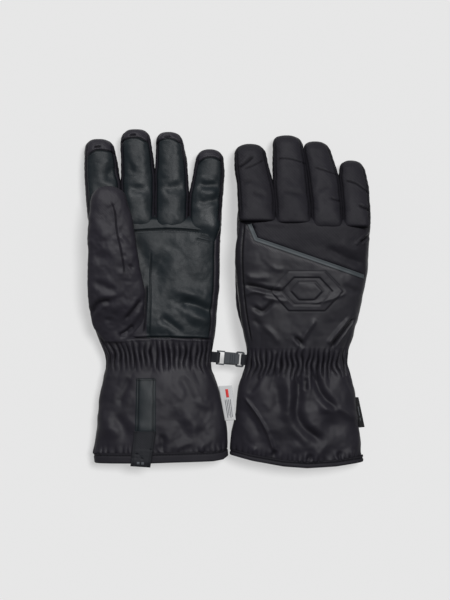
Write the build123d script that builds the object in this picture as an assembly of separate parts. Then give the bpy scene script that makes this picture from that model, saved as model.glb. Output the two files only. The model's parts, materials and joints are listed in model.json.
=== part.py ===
"""A pair of insulated ski gloves joined at the wrists by a small snap clip, lying flat.

Row frame, millimetres: +X runs from the left glove to the right glove, +Y from the hems to the
fingertips, +Z up from the floor. The row's origin is on the floor, under the middle of the pair.
The left glove lies palm up and the right glove lies palm down, so the thumb side of both is at -X.

The dimensions below are measured from the floor point under the clip, on the line through both
wrists, and build() moves the finished pieces to the row's origin.
"""
from build123d import *
from collections import namedtuple
from math import sqrt
import os

ROW_X, ROW_Y = 0.22, 57.135   # the row's origin, from the floor point under the clip

# ---------------------------------------------------------------- sheet thicknesses
SHELL = 1.2            # outer fabric or leather with its backing
HAND_LINING = 3.7      # insulation quilted to fleece
STALL_LINING = 2.2     # fleece and light wadding inside a finger or the thumb
CUFF_LINING = 1.6
PLY_GAP = 0.1          # air between two layers
OVERRUN = 1.0          # how far a cutting tube runs past the end it opens

# ---------------------------------------------------------------- lengths along Y
HEM_Y = -92.0          # bottom edge of the cuff binding
BINDING_TALL = 8.0
CUFF_TOP_Y = -12.0     # the gathered fabric between cuff and hand bridges CUFF_TOP_Y to HAND_START_Y
HAND_START_Y = 12.0
ELASTIC_HALF = 6.0     # half width of the elastic band inside the gathers
KNUCKLE_Y_INDEX = 127.0
KNUCKLE_Y_LITTLE = 120.0
KNUCKLE_GAP = 1.5      # half the gap between hand and finger
MID_GAP = 1.25         # half the gap between finger base and fingertip
MID_SHARE = 0.46       # the middle bend of a finger, as a share of its length
TIP_ROUND = 13.0       # length of the rounded end of a fingertip

# ---------------------------------------------------------------- heights along Z
HAND_HALF = 19.0       # half thickness of hand and cuff
KNUCKLE_HALF = 16.0
HEM_HALF = 18.0
FINGER_HALF = 13.5     # half thickness of a finger at its base
FINGER_TIP_HALF = 11.5
LITTLE_THIN = 1.5      # the little finger is thinner than the others by this much

Station = namedtuple("Station", "y x z wide tall")   # centre, half width and half thickness
Finger = namedtuple("Finger", "name x_base x_tip y_tip wide_base wide_tip")
Side = namedtuple("Side", "name palm hand_z hand_rise hem_z finger_z fingertip_z thumb_x thumb_away cuff "
                          "hand fingers")

# Hand and cuff outlines are (y, lowest x, highest x). palm is +1 where the palm faces up.
LEFT = Side(
    name="left", palm=1, hand_z=18.6, hand_rise=0.0, hem_z=18.0, finger_z=16.0, fingertip_z=12.6,
    thumb_x=0.0, thumb_away=0.0,
    cuff=[(HEM_Y, -120.0, 0.8), (-55, -117.5, -1.4), (-33, -114.3, -4.5), (CUFF_TOP_Y, -110.7, -9.9)],
    hand=[(HAND_START_Y, -110.9, -13.8), (46, -122.4, -9.9), (88, -125.0, -6.3), (128, -124.4, -5.0)],
    fingers=[Finger("index", -109.8, -114.3, 201.5, 15.2, 14.0),
             Finger("middle", -79.0, -81.4, 209.0, 14.8, 13.8),
             Finger("ring", -48.3, -51.0, 207.5, 14.6, 13.2),
             Finger("little", -18.8, -16.2, 192.5, 13.7, 11.8)],
)
RIGHT = Side(
    name="right", palm=-1, hand_z=28.0, hand_rise=0.1, hem_z=21.2, finger_z=41.0, fingertip_z=12.6,
    thumb_x=133.2, thumb_away=0.14,
    cuff=[(HEM_Y, 4.4, 121.6), (-55, 4.7, 118.2), (-33, 6.3, 114.4), (CUFF_TOP_Y, 12.6, 110.6)],
    hand=[(HAND_START_Y, 18.4, 108.4), (46, 11.2, 118.6), (88, 7.2, 126.8), (128, 10.4, 128.6)],
    fingers=[Finger("index", 27.0, 21.0, 197.0, 15.8, 14.0),
             Finger("middle", 59.1, 54.6, 205.0, 15.0, 13.2),
             Finger("ring", 89.6, 82.0, 199.0, 13.6, 12.2),
             Finger("little", 116.0, 113.2, 182.0, 11.8, 11.0)],
)
SIDES = (LEFT, RIGHT)

# Thumb of the left glove: y, centre x, half width, half thickness, height of its axis over the hand's.
GUSSET = [(29, -98, 6.0, 3.0, 23.0), (35, -98, 13.0, 5.0, 23.4), (45, -98, 18.5, 7.0, 24.6),
          (69.2, -99.4, 22.3, 8.6, 26.0)]
THUMB = [(70.8, -99.5, 22.2, 8.7, 26.1), (100, -102, 20.5, 10.0, 27.2), (128, -108.8, 13.8, 10.0, 26.6),
         (143, -108.8, 12.8, 9.4, 26.6), (150, -108.4, 9.0, 6.4, 26.6), (154, -108.0, 4.0, 3.0, 26.6)]
THUMB_AWAY_Y = 100.0    # beyond this a thumb leaves its palm by thumb_away per millimetre
THUMB_HOLE_X, THUMB_HOLE_Y, THUMB_HOLE_R = -97.0, 51.0, 11.0

# Reflective piping on the back of the right glove, and its offset on the left one.
PIPING = [(14.0, 137.0), (26.0, 109.8), (136.0, 72.0)]
PIPING_WIDE = 3.2
MIRROR_SHIFT = -132.3   # from a place on the right hand to the same place on the left hand

# Pull strap down the palm side of the cuff, and the loose loop below it, on the left glove.
STRAP_X, STRAP_WIDE, STRAP_TOP_Y, STRAP_END_Y = -72.2, 14.6, -14.5, -62.0
STRAP_THICK = 1.2
LOOP_WIDE, LOOP_LEAN, LOOP_END_Y, LOOP_THICK = 18.4, 5.0, -94.6, 2.0

# Labels: the place of each one's middle, and its width.
CARE_LABEL, CARE_LABEL_WIDE = Pos(-2.6, -35.6, 27.8) * Rot(0, -26, 7), 9.2
SIDE_LABEL, SIDE_LABEL_WIDE = Pos(119.5, -48.5, 24.2) * Rot(0, 0, 10), 3.4

# Snap clip between the wrists, in its own frame: u along the clip, v across it, w up.
CLIP_X, CLIP_Y, CLIP_Z, CLIP_TILT = 0.0, -0.3, 23.0, -5.0
WEBBING_WIDE, WEBBING_THICK = 9.5, 0.8
CLIP_HALF_V = 6.4
HOOK_BAR_U, HOOK_BAR_R = -10.2, 1.2
RING_BAR_U, RING_END_U, RING_BAR_R = 7.0, 12.6, 1.1
GATE_PIVOT_U, GATE_W = -3.8, 1.35

BIG = 400.0


# ---------------------------------------------------------------- general shapes
def ellipse_face(s, inset):
    """Cross-section of a tube across the Y axis, with its edge moved in by inset."""
    plane = Plane(origin=(s.x, s.y, s.z), x_dir=(1, 0, 0), z_dir=(0, 1, 0))
    return plane * Ellipse(s.wide - inset, s.tall - inset)


def beyond(a, b):
    """A station OVERRUN past a, on the straight line from b through a."""
    step = OVERRUN / abs(a.y - b.y)
    return Station(*(p + (p - q) * step for p, q in zip(a, b)))


def solid_tube(stations, inset, open_ends=False):
    if open_ends:
        stations = [beyond(stations[0], stations[1]), *stations, beyond(stations[-1], stations[-2])]
    return loft([ellipse_face(s, inset) for s in stations], ruled=True)


def layer(stations, outer, inner):
    """One ply of an open tube, from outer to inner below the tube's outside."""
    return solid_tube(stations, outer) - solid_tube(stations, inner, open_ends=True)


def prism(points):
    """A tall vertical prism over a plan outline."""
    return Pos(0, 0, -BIG / 4) * extrude(Polygon(*points, align=None), BIG, dir=(0, 0, 1))


def plan_box(x0, x1, y0, y1):
    return prism([(x0, y0), (x1, y0), (x1, y1), (x0, y1)])


# ---------------------------------------------------------------- where things are
def hand_z(side, y):
    """Height of the hand's middle surface."""
    return side.hand_z + side.hand_rise * y


def palm_half(side, stations, palm):
    """Everything on the palm side, or the back side, of the surface through the stations' centres."""
    first, last = stations[0], stations[-1]
    run, rise = last.y - first.y, last.z - first.z
    half = Pos(0, 0, side.palm * palm * BIG / 2) * Box(2 * BIG, 2 * BIG, BIG)
    tilt = Plane(origin=(0, first.y, first.z), x_dir=(1, 0, 0), z_dir=(0, -rise, run))
    return tilt * half


def outline_stations(outline, z_of, tall_of):
    return [Station(y, (lo + hi) / 2, z_of(y), (hi - lo) / 2, tall_of(y)) for y, lo, hi in outline]


def between(y, y0, v0, y1, v1):
    return v0 + (v1 - v0) * (y - y0) / (y1 - y0)


def hand_stations(side):
    def tall(y):
        return HAND_HALF if y < 100 else KNUCKLE_HALF
    return outline_stations(side.hand, lambda y: hand_z(side, y), tall)


def cuff_stations(side):
    def z(y):
        return between(y, HEM_Y, side.hem_z, 0, hand_z(side, 0))

    def tall(y):
        return HEM_HALF if y == HEM_Y else HAND_HALF
    return outline_stations(side.cuff, z, tall)


def cuff_at(side, y):
    """The cuff's station at any y between two of its own."""
    stations = cuff_stations(side)
    for a, b in zip(stations, stations[1:]):
        if a.y <= y <= b.y:
            return Station(*(between(y, a.y, p, b.y, q) for p, q in zip(a, b)))
    raise ValueError(y)


def knuckle_y(side, x):
    """The knuckle line runs from the index finger's outer edge down to the little finger's."""
    _, lo, hi = side.hand[-1]
    return between(x, lo, KNUCKLE_Y_INDEX, hi, KNUCKLE_Y_LITTLE)


def finger_start(side, finger):
    return knuckle_y(side, finger.x_base)


def finger_middle(side, finger):
    start = finger_start(side, finger)
    return start + MID_SHARE * (finger.y_tip - start)


def finger_station(side, finger, y, shrink=1.0):
    start = finger_start(side, finger)
    thin = LITTLE_THIN if finger.name == "little" else 0.0

    def along(base, tip):
        return between(y, start, base, finger.y_tip, tip)
    return Station(y, along(finger.x_base, finger.x_tip), along(side.finger_z, side.fingertip_z),
                   along(finger.wide_base, finger.wide_tip) * shrink,
                   (along(FINGER_HALF, FINGER_TIP_HALF) - thin) * shrink)


# ---------------------------------------------------------------- fingers and thumb
def finger_base(side, finger):
    """Shell and lining of the finger from the knuckle to its middle bend."""
    y0 = finger_start(side, finger) + KNUCKLE_GAP
    y1 = finger_middle(side, finger) - MID_GAP
    stations = [finger_station(side, finger, y) for y in (y0, (y0 + y1) / 2, y1)]
    lining_top = SHELL + PLY_GAP
    return layer(stations, 0, SHELL), layer(stations, lining_top, lining_top + STALL_LINING)


def fingertip_tube(side, finger, inset):
    """A closed tube with a rounded, slightly square end."""
    y0 = finger_middle(side, finger) + MID_GAP - (OVERRUN if inset else 0)
    y_round = finger.y_tip - TIP_ROUND
    end = 1 - inset / TIP_ROUND
    stations = [finger_station(side, finger, y) for y in (y0, (y0 + y_round) / 2, y_round)]
    for t in (0.35, 0.6, 0.8, 0.93, 0.99):
        shrink = (1 - t ** 2.6) ** (1 / 2.6)
        stations.append(finger_station(side, finger, y_round + t * end * TIP_ROUND, shrink))
    return loft([ellipse_face(s, min(inset, 0.6 * s.tall)) for s in stations], ruled=True)


def fingertip(side, finger):
    wall = SHELL + PLY_GAP + STALL_LINING
    return fingertip_tube(side, finger, 0) - fingertip_tube(side, finger, wall)


def thumb_stations(side, rows):
    stations = []
    for y, x, wide, tall, lift in rows:
        away = lift + side.thumb_away * max(0, y - THUMB_AWAY_Y)
        stations.append(Station(y, x + side.thumb_x, hand_z(side, y) + side.palm * away, wide, tall))
    return stations


def thumb_tube(side, rows, inset, closed):
    """A tube closed at its first or last station (closed is 0 or -1) and open at the other."""
    stations = thumb_stations(side, rows)
    if inset:
        inward = 1 if closed == 0 else -1
        stations[closed] = stations[closed]._replace(y=stations[closed].y + inset * inward)
        mouth = -1 - closed
        stations[mouth] = beyond(stations[mouth], stations[mouth - inward])
    return loft([ellipse_face(s, min(inset, 0.6 * s.tall)) for s in stations], ruled=True)


def thumb_hole(side):
    """The passage between hand and thumb, on the palm side of the hand's middle surface."""
    x = THUMB_HOLE_X + side.thumb_x
    low = hand_z(side, THUMB_HOLE_Y)
    reach = 25.6 * side.palm
    height = abs(reach)
    return Pos(x, THUMB_HOLE_Y, low + reach / 2) * Cylinder(THUMB_HOLE_R, height)


def thumb(side):
    """The gusset that joins the thumb to the hand, then the thumb's shell and lining."""
    top = SHELL + PLY_GAP
    wall = top + STALL_LINING
    gusset = thumb_tube(side, GUSSET, 0, 0) - thumb_tube(side, GUSSET, wall, 0) - thumb_hole(side)
    shell = thumb_tube(side, THUMB, 0, -1) - thumb_tube(side, THUMB, SHELL, -1)
    lining = thumb_tube(side, THUMB, top, -1) - thumb_tube(side, THUMB, wall, -1)
    mouth = plan_box(-BIG, BIG, -BIG, THUMB[0][0])
    return gusset, shell, lining - mouth


# ---------------------------------------------------------------- hand
def hand_region(side):
    """Plan of the hand up to the knuckle line."""
    (_, lo, hi) = side.hand[-1]
    x0, x1 = lo - 30, hi + 30
    return prism([(x0, 0), (x1, 0), (x1, knuckle_y(side, x1) - KNUCKLE_GAP),
                  (x0, knuckle_y(side, x0) - KNUCKLE_GAP)])


def piping_line(side):
    shift = MIRROR_SHIFT if side.name == "left" else 0.0
    return [(x + shift, y) for x, y in PIPING]


def band(points, half_width):
    """Plan band of constant width along a bent line."""
    path = Polyline(*points)
    return Pos(0, 0, -BIG / 4) * extrude(trace(path, line_width=2 * half_width), BIG, dir=(0, 0, 1))


def above_piping(side, clearance):
    """Plan region between the piping and the fingers."""
    (x0, y0), (x1, y1), (x2, y2) = piping_line(side)
    region = prism([(x0, y0), (x1, y1), (x2, y2), (x2, y0 + 60), (x0, y0 + 60)])
    return region - band(piping_line(side), PIPING_WIDE / 2 + clearance)


def hand(side):
    """The hand's panels and its quilted lining."""
    stations = hand_stations(side)
    region = hand_region(side)
    back = palm_half(side, stations, -1)
    palm = palm_half(side, stations, 1)
    hole = thumb_hole(side)
    shell = layer(stations, 0, SHELL) & region
    back_half = shell & back
    palm_edge = Pos(0, 0, side.palm * PLY_GAP) * palm
    pieces = {
        "palm_panel": (shell & palm_edge) - hole,
        "reflective_piping": back_half & band(piping_line(side), PIPING_WIDE / 2),
        "knuckle_panel": back_half & above_piping(side, PLY_GAP),
    }
    x0, y0 = piping_line(side)[0]
    upper = prism([piping_line(side)[0], piping_line(side)[1], piping_line(side)[2],
                   (piping_line(side)[2][0], y0 + 60), (x0, y0 + 60)])
    pieces["back_panel"] = back_half - upper - band(piping_line(side), PIPING_WIDE / 2 + PLY_GAP)
    top = SHELL + PLY_GAP
    pieces["hand_lining"] = (layer(stations, top, top + HAND_LINING) & region) - hole
    return pieces


# ---------------------------------------------------------------- cuff
def surface_patch(side, stations, plan, thick, off):
    """A sheet that follows the palm side of the cuff, off above its surface."""
    ply = layer(stations, -off - thick, -off)
    return ply & plan & palm_half(side, stations, 1)


def cuff(side):
    """The gauntlet below the wrist, its lining, binding, elastic and pull strap."""
    whole = cuff_stations(side)
    binding_top = HEM_Y + BINDING_TALL
    body = [cuff_at(side, binding_top + PLY_GAP), *whole[1:]]
    hem = [whole[0], cuff_at(side, binding_top)]
    top = SHELL + PLY_GAP
    wall = top + CUFF_LINING
    pieces = {
        "gauntlet_shell": layer(body, 0, SHELL),
        "gauntlet_lining": layer(body, top, wall),
        "hem_binding": layer(hem, 0, wall + 0.3),
    }
    wrist_x = [(HAND_START_Y, *side.hand[0][1:]), (CUFF_TOP_Y, *side.cuff[-1][1:])]
    x = sum(lo + hi for _, lo, hi in wrist_x) / 4
    wide = sum(hi - lo for _, lo, hi in wrist_x) / 4 - 5.0
    z = hand_z(side, 0)
    elastic = [Station(y, x, z, wide, HAND_HALF - 3.6) for y in (-ELASTIC_HALF, ELASTIC_HALF)]
    pieces["wrist_elastic"] = layer(elastic, 0, SHELL)
    shift = side.thumb_x
    left, right = STRAP_X - STRAP_WIDE / 2 + shift, STRAP_X + STRAP_WIDE / 2 + shift
    plan = plan_box(left, right, STRAP_END_Y, STRAP_TOP_Y)
    pieces["pull_strap"] = surface_patch(side, body, plan, STRAP_THICK, PLY_GAP)
    return pieces


def pull_loop(side):
    """The loose end of the pull strap, which hangs past the hem."""
    x = STRAP_X + side.thumb_x
    half = LOOP_WIDE / 2
    top_y, low = STRAP_END_Y - 0.6, LOOP_END_Y
    plan = prism([(x - half, top_y), (x + half, top_y), (x + half - LOOP_LEAN, low), (x - half - LOOP_LEAN, low)])
    whole = cuff_stations(side)
    over_hem = whole[0]._replace(y=LOOP_END_Y - OVERRUN)
    stations = [over_hem, *whole[1:-1]]
    return surface_patch(side, stations, plan, LOOP_THICK, 0.7)


def care_label():
    """White sewn-in label at the outer seam of the left cuff."""
    return CARE_LABEL * Box(CARE_LABEL_WIDE, 31.0, 0.5)


def side_label():
    """Folded black label in the outer seam of the right cuff."""
    return SIDE_LABEL * Box(SIDE_LABEL_WIDE, 27.0, 0.9)


# ---------------------------------------------------------------- snap clip
def in_clip(shape):
    """Places a shape modelled in the clip's own frame."""
    return Pos(CLIP_X, CLIP_Y, CLIP_Z) * Rot(0, 0, CLIP_TILT) * shape


def clip_box(u0, u1, v_half, w0, w1):
    return Pos((u0 + u1) / 2, 0, (w0 + w1) / 2) * Box(u1 - u0, 2 * v_half, w1 - w0)


def cross_bar(u, w, radius, half_v):
    return Pos(u, 0, w) * Rot(90, 0, 0) * Cylinder(radius, 2 * half_v)


def clip_hook():
    """Body with a bar for the webbing at one end and an open channel for the ring at the other."""
    rail_out, rail_in = CLIP_HALF_V, CLIP_HALF_V - 1.2
    rails = clip_box(HOOK_BAR_U, -4.0, rail_out, -1.2, 1.2) - clip_box(HOOK_BAR_U - 2, -4.4, rail_in, -2, 2)
    body = clip_box(-4.5, RING_BAR_U - RING_BAR_R - 0.1, 5.6, -2.1, 1.2)
    floor = clip_box(4.0, 9.2, 4.6, -2.1, -RING_BAR_R - 0.1)
    lip = clip_box(RING_BAR_U + RING_BAR_R + 0.1, 9.2, 4.6, -2.1, 0.2)
    bar = cross_bar(HOOK_BAR_U, 0, HOOK_BAR_R, rail_out)
    return in_clip(rails + body + floor + lip + bar)


def clip_gate():
    """Sprung tongue that closes the channel, with three thumb ridges."""
    plate = clip_box(GATE_PIVOT_U, 8.9, 4.5, GATE_W, GATE_W + 1.05)
    for u in (1.0, 3.0, 5.0):
        plate += cross_bar(u, GATE_W + 1.05, 0.4, 4.0)
    return in_clip(plate)


def clip_ring():
    """Rounded ring: one bar sits in the hook, the other holds the right webbing."""
    u0, u1 = RING_BAR_U - RING_BAR_R, RING_END_U + RING_BAR_R
    outer = RectangleRounded(u1 - u0, 2 * (CLIP_HALF_V + 0.6), 1.8)
    inner = Rectangle(RING_END_U - RING_BAR_U, 2 * (CLIP_HALF_V - 1.0))
    flat = extrude(outer - inner, RING_BAR_R * 1.6)
    ring = Pos((u0 + u1) / 2, 0, -RING_BAR_R * 0.8) * flat
    window = clip_box(u0 - 1, u1 + 1, CLIP_HALF_V - 1.0, -3, 3)
    ring = ring - window
    for u in (RING_BAR_U, RING_END_U):
        ring += cross_bar(u, 0, RING_BAR_R, CLIP_HALF_V - 0.4)
    return in_clip(ring)


def webbing_loop(bar_u, bar_r, far_x, far_z):
    """A strap folded round a clip bar and running to a sewn end at (far_x, far_z)."""
    du, dw = far_x - CLIP_X - bar_u, far_z - CLIP_Z
    length = sqrt(du * du + dw * dw)
    inner_r = bar_r + PLY_GAP
    outline = SlotCenterToCenter(length, 2 * (inner_r + WEBBING_THICK))
    opening = SlotCenterToCenter(length, 2 * inner_r)
    profile = Pos(length / 2, 0) * (outline - opening)
    across = Plane(origin=(bar_u, WEBBING_WIDE / 2, 0), x_dir=(du, 0, dw), z_dir=(0, -1, 0))
    return in_clip(across * extrude(profile, WEBBING_WIDE))


# ---------------------------------------------------------------- all nodes
def build():
    nodes = {}
    for side in SIDES:
        for finger in side.fingers:
            name = f"{side.name}_{finger.name}"
            shell, lining = finger_base(side, finger)
            nodes[f"{name}_base_shell"] = shell
            nodes[f"{name}_base_lining"] = lining
            nodes[f"{name}_fingertip"] = fingertip(side, finger)
        gusset, shell, lining = thumb(side)
        nodes[f"{side.name}_thumb_gusset"] = gusset
        nodes[f"{side.name}_thumb_shell"] = shell
        nodes[f"{side.name}_thumb_lining"] = lining
        for group in (hand(side), cuff(side)):
            for key, shape in group.items():
                nodes[f"{side.name}_{key}"] = shape
        nodes[f"{side.name}_pull_loop"] = pull_loop(side)
    nodes["left_care_label"] = care_label()
    nodes["right_side_label"] = side_label()
    nodes["clip_hook"] = clip_hook()
    nodes["clip_gate"] = clip_gate()
    nodes["clip_ring"] = clip_ring()
    nodes["left_clip_strap"] = webbing_loop(HOOK_BAR_U, HOOK_BAR_R, -14.3, 19.8)
    nodes["right_clip_strap"] = webbing_loop(RING_END_U, RING_BAR_R, 17.2, 25.6)
    floor = Pos(0, 0, -BIG / 2) * Box(2 * BIG, 2 * BIG, BIG)
    for key in ("back_panel", "knuckle_panel", "reflective_piping", "gauntlet_shell", "hem_binding"):
        nodes[f"left_{key}"] = nodes[f"left_{key}"] - floor
    return {key: Pos(-ROW_X, -ROW_Y, 0) * shape for key, shape in nodes.items()}


if __name__ == "__main__":
    os.makedirs("parts", exist_ok=True)
    for node_name, node_shape in build().items():
        export_step(node_shape, f"parts/{node_name}.step")
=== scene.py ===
import json
import math

import bpy
import numpy as np
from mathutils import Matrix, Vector
from mathutils.bvhtree import BVHTree


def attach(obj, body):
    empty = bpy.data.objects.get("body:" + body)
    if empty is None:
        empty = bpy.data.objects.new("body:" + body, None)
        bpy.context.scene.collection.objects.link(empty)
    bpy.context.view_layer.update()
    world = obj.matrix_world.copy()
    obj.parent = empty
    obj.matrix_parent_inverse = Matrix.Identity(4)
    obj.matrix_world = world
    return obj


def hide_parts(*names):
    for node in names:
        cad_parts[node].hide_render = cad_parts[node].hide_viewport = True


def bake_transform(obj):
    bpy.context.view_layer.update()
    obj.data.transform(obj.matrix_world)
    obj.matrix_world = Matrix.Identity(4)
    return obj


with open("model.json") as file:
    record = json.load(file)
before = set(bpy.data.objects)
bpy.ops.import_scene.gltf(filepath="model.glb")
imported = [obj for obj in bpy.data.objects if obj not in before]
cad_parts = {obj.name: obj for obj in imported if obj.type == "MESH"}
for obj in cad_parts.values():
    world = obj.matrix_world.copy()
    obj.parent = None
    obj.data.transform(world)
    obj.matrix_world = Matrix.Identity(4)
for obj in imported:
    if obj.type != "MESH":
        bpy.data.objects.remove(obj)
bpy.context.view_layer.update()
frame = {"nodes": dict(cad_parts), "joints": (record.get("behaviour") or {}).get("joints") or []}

# Lengths here are millimetres from the floor point under the clip, as in the part's dimensions.
# ROW is where the row's origin lies from there: meshes, joints and the camera are moved by it.
JOINTS = {j["name"]: j for j in frame["joints"]}
WRIST = JOINTS["left_wrist_bend"]["pos_m"]
ROW = np.array([-61.325 - WRIST[0] * 1000, -WRIST[1] * 1000, 0.0])
MIRROR_SHIFT = 132.3  # from a place on the left hand to the same place on the right one
SEAM = 0.84  # a finger's side seams, as a share of its half width
FINGERS = ("index", "middle", "ring", "little")
ROUND = 440  # columns round a hand and cuff
STRIP = 4.8  # width of the nylon strip up the outer side of the palm
LIFT = 0.15  # the skins' least height over the floor
TOUCH = {"left": (161, 171, 151), "right": (161, 188, 166)}  # neighbouring fingers touch below these


def joint_y(name):
    return JOINTS[name]["pos_m"][1] * 1000 + ROW[1]


# ------------------------------------------------------------------ small maths
def along(rows, y, column=1, soft=5.0):
    """Smoothed interpolation of one column of a list of rows at y, carried on straight past its ends."""
    cols = np.array(sorted(rows), float).T
    grid = np.arange(cols[0][0] - 40, cols[0][-1] + 40, 0.5)
    lo = (cols[column][1] - cols[column][0]) / (cols[0][1] - cols[0][0])
    hi = (cols[column][-1] - cols[column][-2]) / (cols[0][-1] - cols[0][-2])
    value = np.interp(grid, cols[0], cols[column])
    value += np.where(grid < cols[0][0], (grid - cols[0][0]) * lo, 0)
    value += np.where(grid > cols[0][-1], (grid - cols[0][-1]) * hi, 0)
    reach = np.arange(-int(6 * soft), int(6 * soft) + 1) * 0.5
    weight = np.exp(-((reach / soft) ** 2))
    padded = np.pad(value, len(reach) // 2, mode="reflect", reflect_type="odd")
    value = np.convolve(padded, weight / weight.sum(), "valid")
    return np.interp(y, grid, value)


def both(rows, y, soft=5.0):
    return along(rows, y, 1, soft), along(rows, y, 2, soft)


def ease(x, lo, hi):
    """0 below lo, 1 above hi and smooth between them."""
    t = np.clip((np.asarray(x, float) - lo) / (hi - lo), 0, 1)
    return t * t * (3 - 2 * t)


def bump(x, width):
    """1 at zero, fading to nothing over about twice the width."""
    return np.exp(-((x / width) ** 2))


def noise(p, size, seed=0):
    """Smooth value noise between -1 and 1, one lattice step per size millimetres."""
    q = np.asarray(p, float) / size + seed * 7.31
    i = np.floor(q).astype(np.int64)
    f = q - i
    f = f * f * (3 - 2 * f)
    total = np.zeros(q.shape[:-1])
    for dx in (0, 1):
        for dy in (0, 1):
            for dz in (0, 1):
                n = (i[..., 0] + dx) * 73856093 ^ (i[..., 1] + dy) * 19349663 ^ (i[..., 2] + dz) * 83492791
                n = ((n ^ (n >> 13)) * 1274126177) & 0x7FFFFFFF
                value = ((n ^ (n >> 15)) & 0xFFFF) / 32767.5 - 1
                wx = f[..., 0] if dx else 1 - f[..., 0]
                wy = f[..., 1] if dy else 1 - f[..., 1]
                wz = f[..., 2] if dz else 1 - f[..., 2]
                total += value * wx * wy * wz
    return total


def ring(count, wide, tall, power):
    """Evenly spaced points round a superellipse, on a unit scale, anticlockwise from +X."""
    a = np.linspace(0, 2 * math.pi, 6001)
    r = (np.abs(np.cos(a)) ** power + np.abs(np.sin(a)) ** power) ** (-1 / power)
    x, z = r * np.cos(a), r * np.sin(a)
    s = np.concatenate([[0], np.cumsum(np.hypot(np.diff(x) * wide, np.diff(z) * tall))])
    want = np.linspace(0, s[-1], count, endpoint=False)
    return np.interp(want, s, x), np.interp(want, s, z), want / s[-1]


def rounded_end(length, count, power):
    """Distances and scales of the rows of a rounded end, from the full section to a point."""
    t = np.linspace(0, math.pi / 2, 400)
    d, w = np.sin(t) ** (2 / power), np.cos(t) ** (2 / power)
    s = np.concatenate([[0], np.cumsum(np.hypot(np.diff(d), np.diff(w)))])
    want = np.linspace(0, s[-1], count)
    return np.interp(want, s, d) * length, np.maximum(np.interp(want, s, w), 0.03)


def rows_to_end(first, last, rounding, step, count, power):
    """Places and scales of the rows of a tube whose far end is rounded; count rows make the rounding."""
    d, w = rounded_end(rounding, count, power)
    body = np.arange(first, last - rounding, step)
    return np.concatenate([body, last - rounding + d]), np.concatenate([np.ones(len(body)), w])


def moved(points, dx, dy=0.0):
    return [(x + dx, y + dy) for x, y in points]


def line_distance(x, y, points):
    """Distance in plan to a bent line, and how far along it the nearest place is, from 0 to 1."""
    pts = np.array(points, float)
    seg = np.diff(pts, axis=0)
    size = np.hypot(seg[:, 0], seg[:, 1])
    start = np.concatenate([[0], np.cumsum(size)])
    best = np.full(x.shape, 1e9)
    where = np.zeros(x.shape)
    for (px, py), (sx, sy), length, s0 in zip(pts[:-1], seg, size, start):
        t = np.clip(((x - px) * sx + (y - py) * sy) / (length * length), 0, 1)
        d = np.hypot(x - px - t * sx, y - py - t * sy)
        nearer = d < best
        best = np.where(nearer, d, best)
        where = np.where(nearer, (s0 + t * length) / start[-1], where)
    return best, where


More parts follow.
